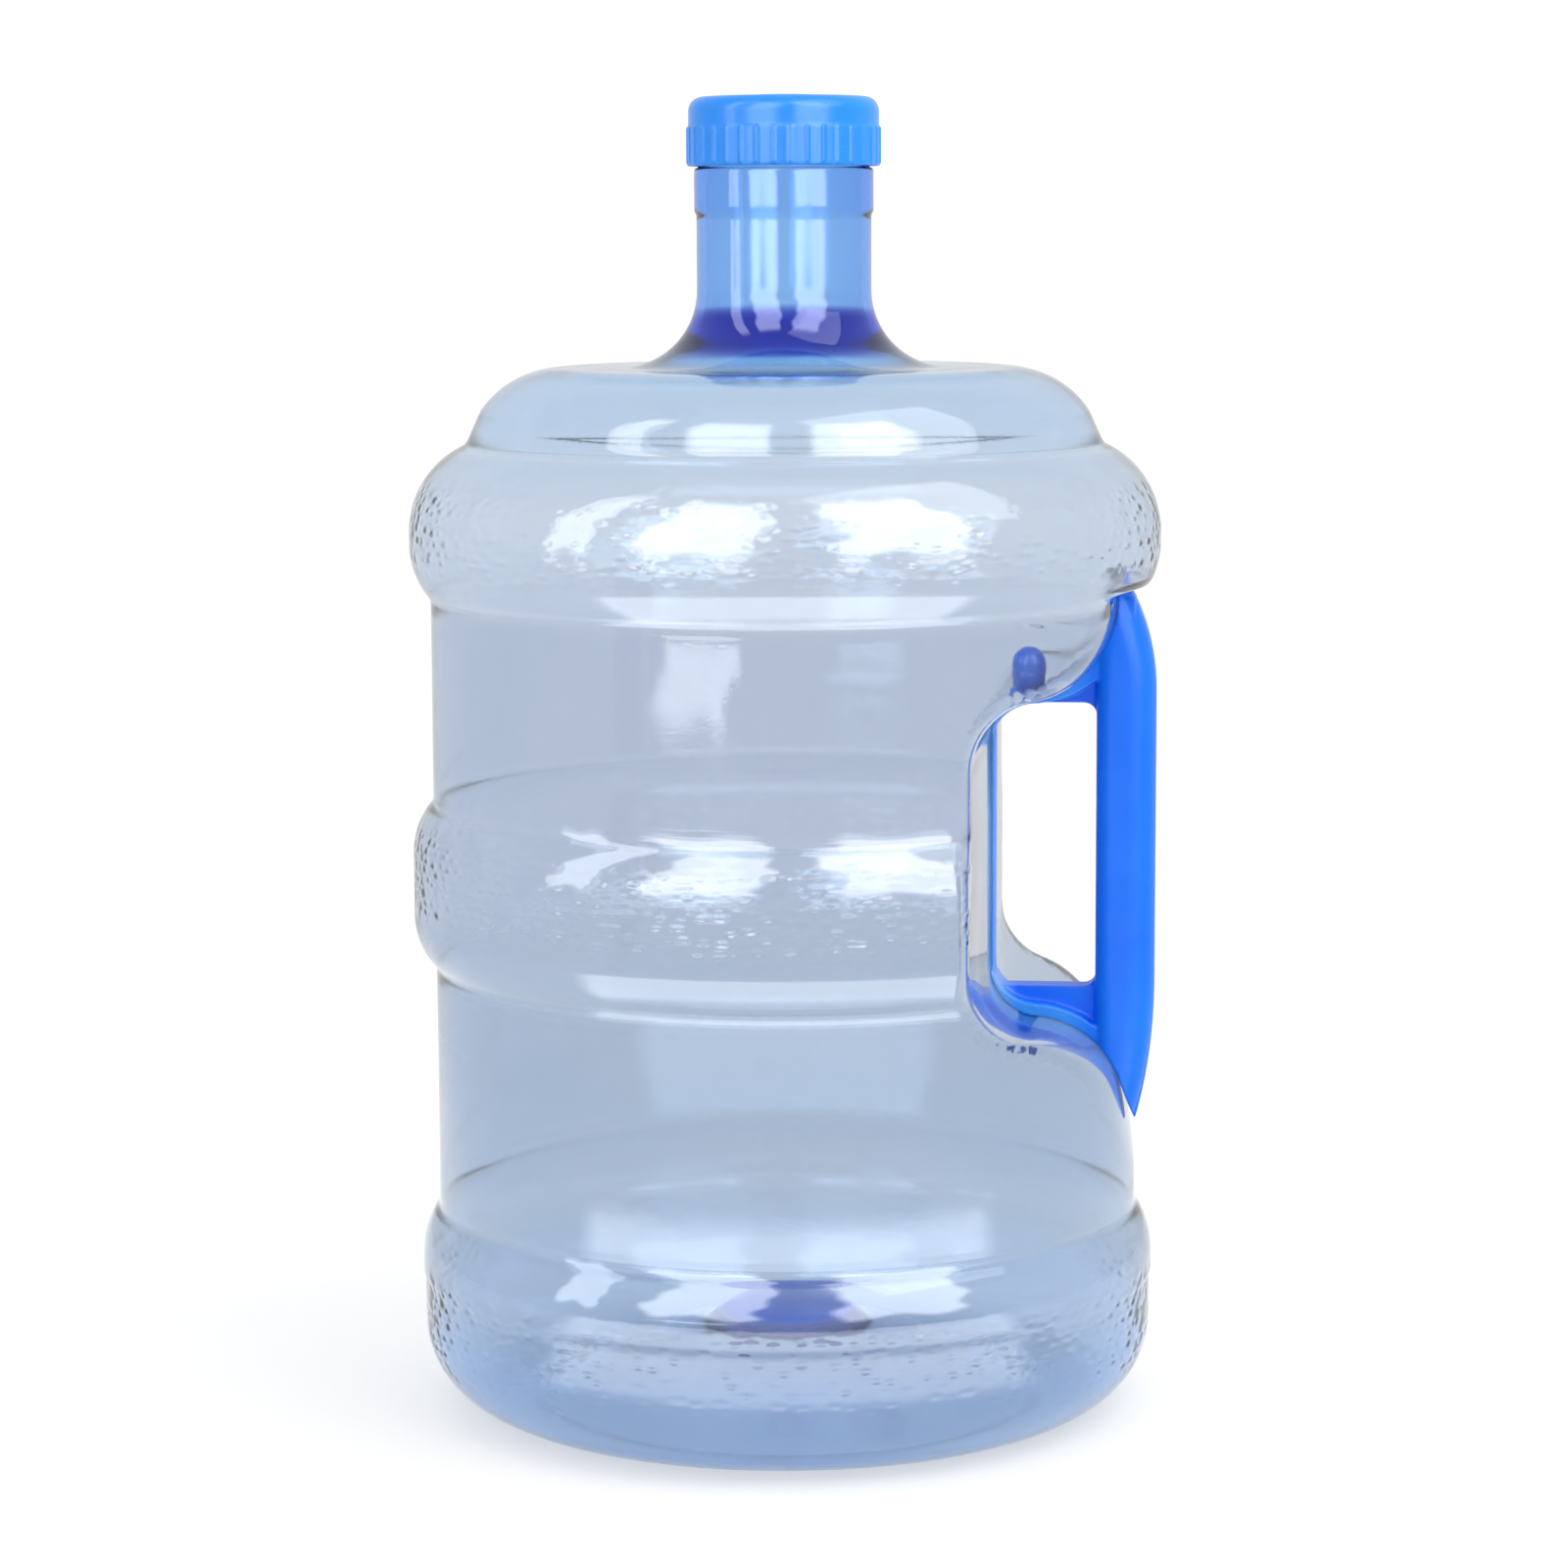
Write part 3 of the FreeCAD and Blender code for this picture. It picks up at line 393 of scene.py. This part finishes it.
def ramp(tree, source, stops):
    """A Color Ramp's colour; stops are (place, colour)."""
    node = tree.nodes.new("ShaderNodeValToRGB")
    while len(node.color_ramp.elements) < len(stops):
        node.color_ramp.elements.new(0.5)
    for element, (at, colour) in zip(node.color_ramp.elements, stops):
        element.position = at
        element.color = (*colour, 1) if len(colour) == 3 else colour
    tree.links.new(source, node.inputs["Fac"])
    return node.outputs["Color"]


def maths(tree, operation, one, two):
    """A Math node's result; two is an output or a plain number."""
    node = tree.nodes.new("ShaderNodeMath")
    node.operation = operation
    tree.links.new(one, node.inputs[0])
    if isinstance(two, float):
        node.inputs[1].default_value = two
    else:
        tree.links.new(two, node.inputs[1])
    return node.outputs["Value"]


def faded(tree, value, low, high, at_low=0.0, at_high=1.0):
    """The value mapped so that low gives at_low and high gives at_high, and held beyond them."""
    node = add(tree, "ShaderNodeMapRange", From_Min=low, From_Max=high, To_Min=at_low, To_Max=at_high)
    tree.links.new(value, node.inputs["Value"])
    return node.outputs["Result"]


def coloured(tree, mask, under, over):
    """The colour output under, with the plain colour over where the mask is 1."""
    node = tree.nodes.new("ShaderNodeMix")
    node.data_type = "RGBA"
    first_colour, second_colour = [item for item in node.inputs if item.type == "RGBA"]
    tree.links.new(mask, node.inputs[0])
    tree.links.new(under, first_colour)
    second_colour.default_value = (*over, 1.0)
    return next(item for item in node.outputs if item.type == "RGBA")


def vector_maths(tree, operation, source, other=None):
    """A Vector Math node fed by source, and by the plain vector other where one is given."""
    node = tree.nodes.new("ShaderNodeVectorMath")
    node.operation = operation
    tree.links.new(source, node.inputs[0])
    if other:
        node.inputs[1].default_value = other
    return node


def object_coords(tree):
    return tree.nodes.new("ShaderNodeTexCoord").outputs["Object"]


def output_of(tree):
    return next(node for node in tree.nodes if node.type == "OUTPUT_MATERIAL")


def blended(tree, share, clear, solid):
    """A Mix Shader: clear where share is 0, solid where it is 1."""
    node = tree.nodes.new("ShaderNodeMixShader")
    tree.links.new(share, node.inputs["Fac"])
    tree.links.new(clear, node.inputs[1])
    tree.links.new(solid, node.inputs[2])
    return node.outputs["Shader"]


def add_bump(tree, shader, heights):
    """Chains bumps onto the shader: heights are (socket, strength, distance)."""
    normal = None
    for socket, strength, distance in heights:
        bump = add(tree, "ShaderNodeBump", Strength=strength, Distance=distance)
        tree.links.new(socket, bump.inputs["Height"])
        if normal:
            tree.links.new(normal, bump.inputs["Normal"])
        normal = bump.outputs["Normal"]
    tree.links.new(normal, shader.inputs["Normal"])


PET_HEIGHT = 0.42
# The clear plastic's colour by height, as a share of PET_HEIGHT. Each line of sight crosses two walls.
FOOT, BASE, WAIST, BODY = (0.77, 0.81, 0.88), (0.69, 0.72, 0.77), (0.65, 0.69, 0.75), (0.73, 0.745, 0.795)
BULGE, SHOULDER, NECK = (0.83, 0.84, 0.865), (0.85, 0.87, 0.89), (0.85, 0.90, 0.91)
AZURE, DEEP = (0.55, 0.76, 0.92), (0.016, 0.12, 0.58)
PET_COLOURS = [
    (0.0, FOOT), (0.06, FOOT), (0.09, BASE), (0.13, BASE), (0.16, WAIST), (0.28, WAIST), (0.38, BODY),
    (0.60, BODY), (0.63, BULGE), (0.70, BULGE), (0.775, SHOULDER), (0.786, AZURE), (0.794, AZURE),
    (0.798, DEEP), (0.823, DEEP), (0.827, NECK),
]
DISC = (0.06, 0.19, 0.80)
BLACK, WHITE = (0, 0, 0), (1, 1, 1)


def pet_material():
    """Clear blue-tinted plastic: colour by height, a milky deep band and base disc, and fine scuffs."""
    material, tree, shader = new_material("clear_pet")
    coords = object_coords(tree)
    fine_noise = add(tree, "ShaderNodeTexNoise", Scale=900.0, Detail=3.0)
    scuff = add(tree, "ShaderNodeTexNoise", Scale=60.0, Detail=6.0)
    for node in (fine_noise, scuff):
        tree.links.new(coords, node.inputs["Vector"])
    split = tree.nodes.new("ShaderNodeSeparateXYZ")
    tree.links.new(coords, split.inputs[0])
    height = faded(tree, split.outputs["Z"], 0.0, PET_HEIGHT)

    # The disc in the base's middle: near the axis and low down.
    flat = vector_maths(tree, "MULTIPLY", coords, (1, 1, 0))
    reach = vector_maths(tree, "LENGTH", flat.outputs["Vector"])
    near_axis = ramp(tree, maths(tree, "MULTIPLY", reach.outputs["Value"], 10.0),
                     [(0.20, WHITE), (0.26, BLACK)])
    low_down = ramp(tree, height, [(0.10, WHITE), (0.12, BLACK)])
    disc = maths(tree, "MULTIPLY", near_axis, low_down)
    tree.links.new(coloured(tree, disc, ramp(tree, height, PET_COLOURS), DISC), shader.inputs["Base Color"])

    band = ramp(tree, height,
                [(0.770, BLACK), (0.790, (0.07,) * 3), (0.822, (0.07,) * 3), (0.830, (0.03,) * 3)])
    milky = maths(tree, "MAXIMUM", band, disc)
    shader.inputs["Transmission Weight"].default_value = 1.0
    tree.links.new(faded(tree, milky, 0.0, 1.0, 1.0, 0.30), shader.inputs["Transmission Weight"])
    rough = ramp(tree, scuff.outputs["Fac"], [(0.35, (0.02,) * 3), (0.75, (0.07,) * 3)])
    tree.links.new(rough, shader.inputs["Roughness"])
    shader.inputs["IOR"].default_value = 1.5
    add_bump(tree, shader, [(scuff.outputs["Fac"], 0.05, 0.0006), (fine_noise.outputs["Fac"], 0.04, 0.0001)])
    absorb = tree.nodes.new("ShaderNodeVolumeAbsorption")
    absorb.inputs["Color"].default_value = (0.10, 0.55, 0.97, 1)
    absorb.inputs["Density"].default_value = 260.0
    tree.links.new(absorb.outputs["Volume"], output_of(tree).inputs["Volume"])
    return material


def stretched(source):
    """The clear plastic where it is drawn thin round the lugs: almost colourless and less glossy."""
    material = source.copy()
    material.name = "pet_clear"
    tree = material.node_tree
    shader = next(node for node in tree.nodes if node.type == "BSDF_PRINCIPLED")
    for link in list(shader.inputs["Base Color"].links):
        tree.links.remove(link)
    shader.inputs["Base Color"].default_value = (0.97, 0.98, 0.99, 1.0)
    shader.inputs["Specular IOR Level"].default_value = 0.15
    return material


def painted_light_patches(tree, coords, colour):
    """Painted light on the handle: a painted highlight along the lower flange's front edge, and painted
    light brightening the upper lug and the back strip.
    """
    split = tree.nodes.new("ShaderNodeSeparateXYZ")
    tree.links.new(coords, split.inputs[0])
    x, y = split.outputs["X"], split.outputs["Y"]
    edge = maths(tree, "MULTIPLY", faded(tree, y, -0.0055, -0.0075), faded(tree, x, 0.0975, 0.090))
    reach = vector_maths(tree, "DISTANCE", coords, (LUG_X * MM, 0.0, 0.234))
    lug = faded(tree, reach.outputs["Value"], 0.012, 0.009)
    strip = faded(tree, x, 0.074, 0.068)
    # Each lighter blue is painted light: a painted highlight on the flange edge, and painted light on the
    # lug and on the strip.
    for mask, light in ((edge, (0.04, 0.30, 0.97)), (lug, (0.004, 0.26, 1.0)), (strip, (0.16, 0.42, 0.97))):
        colour = coloured(tree, mask, colour, light)
    return colour


def moulded_material(name, deep, bright, roughness, grain, shine=0.5, painted_light=False):
    """Opaque moulded plastic: slight colour drift, satin gloss, fine grain and rubbed patches."""
    material, tree, shader = new_material(name)
    coords = object_coords(tree)
    drift = add(tree, "ShaderNodeTexNoise", Scale=22.0, Detail=4.0)
    fine_noise = add(tree, "ShaderNodeTexNoise", Scale=grain, Detail=4.0)
    scuff = add(tree, "ShaderNodeTexNoise", Scale=110.0, Detail=8.0, Roughness=0.7)
    for node in (drift, fine_noise, scuff):
        tree.links.new(coords, node.inputs["Vector"])
    colour = ramp(tree, drift.outputs["Fac"], [(0.3, deep), (0.7, bright)])
    # With the flag set, painted highlights and painted light go over the plastic's colour.
    tree.links.new(painted_light_patches(tree, coords, colour) if painted_light else colour, shader.inputs["Base Color"])
    low, high = roughness
    tree.links.new(ramp(tree, scuff.outputs["Fac"], [(0.35, (low,) * 3), (0.8, (high,) * 3)]),
                   shader.inputs["Roughness"])
    shader.inputs["IOR"].default_value = 1.5
    shader.inputs["Specular IOR Level"].default_value = shine
    shader.inputs["Subsurface Weight"].default_value = 0.08
    shader.inputs["Subsurface Radius"].default_value = (0.001, 0.002, 0.004)
    add_bump(tree, shader,
             [(drift.outputs["Fac"], 0.08, 0.001), (fine_noise.outputs["Fac"], 0.10, 0.00015)])
    return material


pet = pet_material()
pet_clear = stretched(pet)
# The handle carries painted highlights on its lower flange's edge, upper lug and back strip.
blue_handle = moulded_material("blue_handle", (0.002, 0.145, 0.88), (0.004, 0.185, 0.95), (0.28, 0.40),
                               1500.0, shine=0.20, painted_light=True)
blue_cap = moulded_material("blue_cap", (0.006, 0.235, 0.82), (0.010, 0.275, 0.92), (0.20, 0.32), 1500.0,
                            shine=0.38)
foam = moulded_material("liner_foam", (0.80, 0.81, 0.82), (0.88, 0.89, 0.90), (0.60, 0.80), 2600.0)

# ------------------------------------------------------------------ pieces


def softened_copy(node, name, voxel, passes, material, body):
    """A finely remeshed copy of a CAD node, with its edges slightly rounded."""
    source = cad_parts[node]
    mesh = source.data.copy()
    obj = bpy.data.objects.new(name, mesh)
    bpy.context.scene.collection.objects.link(obj)
    remesh = obj.modifiers.new("remesh", "REMESH")
    remesh.mode = "VOXEL"
    remesh.voxel_size = voxel
    remesh.adaptivity = 0
    smooth = obj.modifiers.new("smooth", "SMOOTH")
    smooth.factor, smooth.iterations = 0.5, passes
    depsgraph = bpy.context.evaluated_depsgraph_get()
    result = bpy.data.meshes.new_from_object(obj.evaluated_get(depsgraph))
    obj.modifiers.clear()
    obj.data = result
    result.name = name
    result.materials.clear()
    result.materials.append(material)
    result.polygons.foreach_set("use_smooth", [True] * len(result.polygons))
    result.update()
    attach(obj, body)
    return obj


def lathe(name, profile, material, body, cols=128, centre=(0.0, 0.0)):
    """A closed ring of revolution, from a closed loop of (r, z) in millimetres, either way round."""
    points = np.array(profile, dtype=float)
    ahead = np.roll(points, -1, axis=0)
    if np.sum(points[:, 0] * ahead[:, 1] - ahead[:, 0] * points[:, 1]) < 0:
        points = points[::-1]
    rows = len(points)
    angles = 2 * math.pi * np.arange(cols) / cols
    ring = np.stack([points[:, :1] * np.cos(angles) + centre[0], points[:, :1] * np.sin(angles) + centre[1],
                     np.repeat(points[:, 1:], cols, axis=1)], axis=-1)
    ring = np.concatenate([ring, ring[:1]], axis=0)
    faces = grid_faces(rows + 1, cols)
    faces = np.where(faces >= rows * cols, faces - rows * cols, faces)
    return make_object(name, (ring[:-1].reshape(-1, 3) * MM).tolist(), faces.tolist(), material, body)


def round_loop(corners, radius, count=5):
    """The closed loop of corners with each corner rounded over the radius."""
    loop = []
    total = len(corners)
    for i, corner in enumerate(corners):
        here = np.array(corner, dtype=float)
        back = np.array(corners[i - 1], dtype=float) - here
        ahead = np.array(corners[(i + 1) % total], dtype=float) - here
        start = here + back / np.linalg.norm(back) * min(radius, np.linalg.norm(back) * 0.45)
        end = here + ahead / np.linalg.norm(ahead) * min(radius, np.linalg.norm(ahead) * 0.45)
        for t in np.linspace(0, 1, count):
            loop.append(tuple((1 - t) ** 2 * start + 2 * t * (1 - t) * here + t * t * end))
    return loop


def socket(name, radius, foot, tip, wall_thick=0.35, bite=0.15):
    """A thin clear dome that the jug's wall forms round a lug, open at its foot.

    Its inner side is sunk in the lug by bite."""
    way = 1 if tip > foot else -1
    shoulder = tip - way * radius

    def quarter(r):
        return [(max(r * math.cos(a), AXIS), shoulder + way * r * math.sin(a))
                for a in np.linspace(0, math.pi / 2, 14)]

    inner_side = [(radius - bite, foot)] + quarter(radius - bite)
    outer_side = quarter(radius + wall_thick)[::-1] + [(radius + wall_thick, foot)]
    piece = lathe(name, inner_side + outer_side, pet_clear, "bottle_body", cols=64, centre=(LUG_X, 0.0))


shell = jug_shell(pet)
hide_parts("bottle")

grip = softened_copy("handle", "moulded_handle", 0.0005, 4, blue_handle, "bottle_body")
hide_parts("handle")

lid = softened_copy("screw_cap", "ribbed_cap", 0.00038, 2, blue_cap, "cap_body")
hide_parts("screw_cap")

liner = lathe("foam_liner", round_loop([
    (AXIS, 409.06), (24.0, 409.06), (24.3, 409.24), (26.7, 409.24), (27.0, 409.06), (27.2, 409.2),
    (27.2, 410.15), (27.0, 410.29), (AXIS, 410.29)], 0.25), foam, "liner_body")
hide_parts("cap_liner")

socket("upper_lug_socket", 5.0, 227.8, 241.0)
socket("lower_lug_socket", 3.2, 123.6, 118.5)

# ------------------------------------------------------------------ floor, light and camera


def make_floor():
    """A pale floor, lit a little from below, that fades into the white background away from the jug."""
    material, tree, shader = new_material("pale_floor")
    coords = object_coords(tree)
    mottle = add(tree, "ShaderNodeTexNoise", Scale=3.0, Detail=3.0)
    tree.links.new(coords, mottle.inputs["Vector"])
    tree.links.new(ramp(tree, mottle.outputs["Fac"], [(0.3, (0.49, 0.49, 0.49)), (0.7, (0.51, 0.51, 0.51))]),
                   shader.inputs["Base Color"])
    shader.inputs["Emission Color"].default_value = (1, 1, 1, 1)
    shader.inputs["Emission Strength"].default_value = 0.50
    shader.inputs["Roughness"].default_value = 0.9
    shader.inputs["Specular IOR Level"].default_value = 0.1
    reach = vector_maths(tree, "LENGTH", coords)
    fade = faded(tree, reach.outputs["Value"], 0.22, 1.0)
    fade.node.interpolation_type = "SMOOTHERSTEP"
    gone = tree.nodes.new("ShaderNodeBsdfTransparent")
    tree.links.new(blended(tree, fade, shader.outputs["BSDF"], gone.outputs["BSDF"]),
                   output_of(tree).inputs["Surface"])
    mesh = bpy.data.meshes.new("floor")
    size = 3.0
    corners = [(-size, -size, 0), (size, -size, 0), (size, size, 0), (-size, size, 0)]
    mesh.from_pydata(corners, [], [(0, 1, 2, 3)])
    mesh.materials.append(material)
    floor = bpy.data.objects.new("floor", mesh)
    floor.location.z = -0.0004
    bpy.context.scene.collection.objects.link(floor)


CAMERA_AZIMUTH, CAMERA_PITCH, CAMERA_ROLL = 6.0, 7.52, -0.2
CAMERA_DISTANCE, CAMERA_HEIGHT, CAMERA_LENS, CAMERA_SHIFT = 1.343, 0.3742, 98.0, -0.0012
JUG_MIDDLE = 0.22
SKY, SKY_IN_GLOSS = 1.04, 0.80


def soft_light(name, azimuth, elevation, distance, width, height, power):
    """A soft panel that faces the jug's middle. Azimuth is from the camera's side, positive to the right."""
    data = bpy.data.lights.new(name, "AREA")
    data.shape = "RECTANGLE"
    data.size, data.size_y = width, height
    data.energy = power
    light = bpy.data.objects.new(name, data)
    a, e = math.radians(azimuth + CAMERA_AZIMUTH), math.radians(elevation)
    middle = Vector((0, 0, JUG_MIDDLE))
    back = Vector((math.sin(a) * math.cos(e), -math.cos(a) * math.cos(e), math.sin(e)))
    light.location = middle + back * distance
    light.rotation_mode = "QUATERNION"
    light.rotation_quaternion = back.to_track_quat("Z", "Y")
    light.visible_camera = False
    bpy.context.scene.collection.objects.link(light)


def make_world():
    """A white world that is a little dimmer where it is mirrored."""
    world = bpy.data.worlds.new("studio")
    world.use_nodes = True
    bpy.context.scene.world = world
    tree = world.node_tree
    sky = tree.nodes["Background"]
    sky.inputs["Color"].default_value = (1.0, 1.0, 1.0, 1)
    path = tree.nodes.new("ShaderNodeLightPath")
    # A refracted ray counts as glossy too, so rays that are also transmitted are taken out.
    mirrored = maths(tree, "SUBTRACT", path.outputs["Is Glossy Ray"], path.outputs["Is Transmission Ray"])
    mirrored.node.use_clamp = True
    tree.links.new(faded(tree, mirrored, 0.0, 1.0, SKY, SKY_IN_GLOSS), sky.inputs["Strength"])


def glowing_panel(name, verts, light, cols, rows, strength):
    """A sheet of cols by rows points that glows by its own share of light at each point."""
    material = bpy.data.materials.new(name)
    material.use_nodes = True
    tree = material.node_tree
    tree.nodes.clear()
    glow = add(tree, "ShaderNodeEmission", Strength=strength)
    share = tree.nodes.new("ShaderNodeAttribute")
    share.attribute_name = "glow"
    gone = tree.nodes.new("ShaderNodeBsdfTransparent")
    out = tree.nodes.new("ShaderNodeOutputMaterial")
    tree.links.new(blended(tree, share.outputs["Fac"], gone.outputs["BSDF"], glow.outputs["Emission"]),
                   out.inputs["Surface"])
    faces = [(r * cols + c, r * cols + c + 1, (r + 1) * cols + c + 1, (r + 1) * cols + c)
             for r in range(rows - 1) for c in range(cols - 1)]
    mesh = bpy.data.meshes.new(name)
    mesh.from_pydata(verts, [], faces)
    mesh.attributes.new("glow", "FLOAT", "POINT").data.foreach_set("value", light)
    mesh.materials.append(material)
    panel = bpy.data.objects.new(name, mesh)
    bpy.context.scene.collection.objects.link(panel)
    for kind in ("camera", "diffuse", "shadow", "volume_scatter"):
        setattr(panel, f"visible_{kind}", False)


def soft_window(name, azimuths, elevations, slant, strength, distance=2.3):
    """A curved bright panel that only mirrored and refracted rays see.

    Azimuths are from the camera's side, positive to the right.
    """
    cols, rows = 49, 33
    verts, light = [], []
    for v in np.linspace(0, 1, rows):
        for u in np.linspace(0, 1, cols):
            e = math.radians(elevations[0] + (elevations[1] - elevations[0]) * v)
            a = math.radians(azimuths[0] + (azimuths[1] - azimuths[0]) * u + slant * (v - 0.5)
                             + CAMERA_AZIMUTH)
            verts.append((distance * math.sin(a) * math.cos(e), -distance * math.cos(a) * math.cos(e),
                          JUG_MIDDLE + distance * math.sin(e)))
            ripple = 0.05 * math.sin(9 * v + 3 * slant) + 0.03 * math.sin(23 * v)
            low = 0.04 * math.sin(11 * u + slant)
            across = smoothstep(0, 0.10, u - 0.05 - ripple) * smoothstep(0, 0.08, 0.96 - u + ripple)
            light.append(float(across * smoothstep(0, 0.08, v - 0.03 - low) * smoothstep(0, 0.14, 1.0 - v)))
    glowing_panel(name, verts, light, cols, rows, strength)


def floor_glow(name, near, far, spread, strength):
    """A bright sheet lying on the floor in front of the jug, that only mirrored and refracted rays see."""
    rings, spokes = 17, 41
    verts, light = [], []
    for v in np.linspace(0, 1, rings):
        for u in np.linspace(-1, 1, spokes):
            a = math.radians(spread * u) + math.radians(CAMERA_AZIMUTH)
            r = near + (far - near) * v
            verts.append((r * math.sin(a), -r * math.cos(a), 0.0006))
            along = smoothstep(0, 0.2, v) * smoothstep(0, 0.15, 1 - v)
            light.append(float(along * smoothstep(0, 0.12, 1 - abs(u))))
    glowing_panel(name, verts, light, spokes, rings, strength)


make_world()
make_floor()
soft_window("window_left", (-46, -3), (-4, 62), 3.0, 6.5)
soft_window("window_right", (10.6, 60), (-4, 62), -3.0, 6.5)
soft_window("window_edge", (-76, -58), (-4, 62), 2.0, 5.0)
soft_window("window_low", (-42, -14), (-6.4, -4.1), 7.0, 4.6)
floor_glow("window_floor", 0.16, 0.46, 62.0, 4.2)
soft_light("overhead_right", 55, 50, 2.0, 1.6, 1.6, 16)

camera_data = bpy.data.cameras.new("camera")
camera_data.lens = CAMERA_LENS
camera_data.sensor_width = 36.0
camera_data.shift_x = CAMERA_SHIFT
camera = bpy.data.objects.new("camera", camera_data)
bpy.context.scene.collection.objects.link(camera)
swing = math.radians(CAMERA_AZIMUTH)
camera.location = (CAMERA_DISTANCE * math.sin(swing), -CAMERA_DISTANCE * math.cos(swing), CAMERA_HEIGHT)
turned = (Matrix.Rotation(swing, 4, "Z") @ Matrix.Rotation(math.radians(90 - CAMERA_PITCH), 4, "X")
          @ Matrix.Rotation(math.radians(CAMERA_ROLL), 4, "Z"))
camera.rotation_euler = turned.to_euler()
bpy.context.scene.camera = camera
bpy.context.scene.view_settings.view_transform = "Standard"
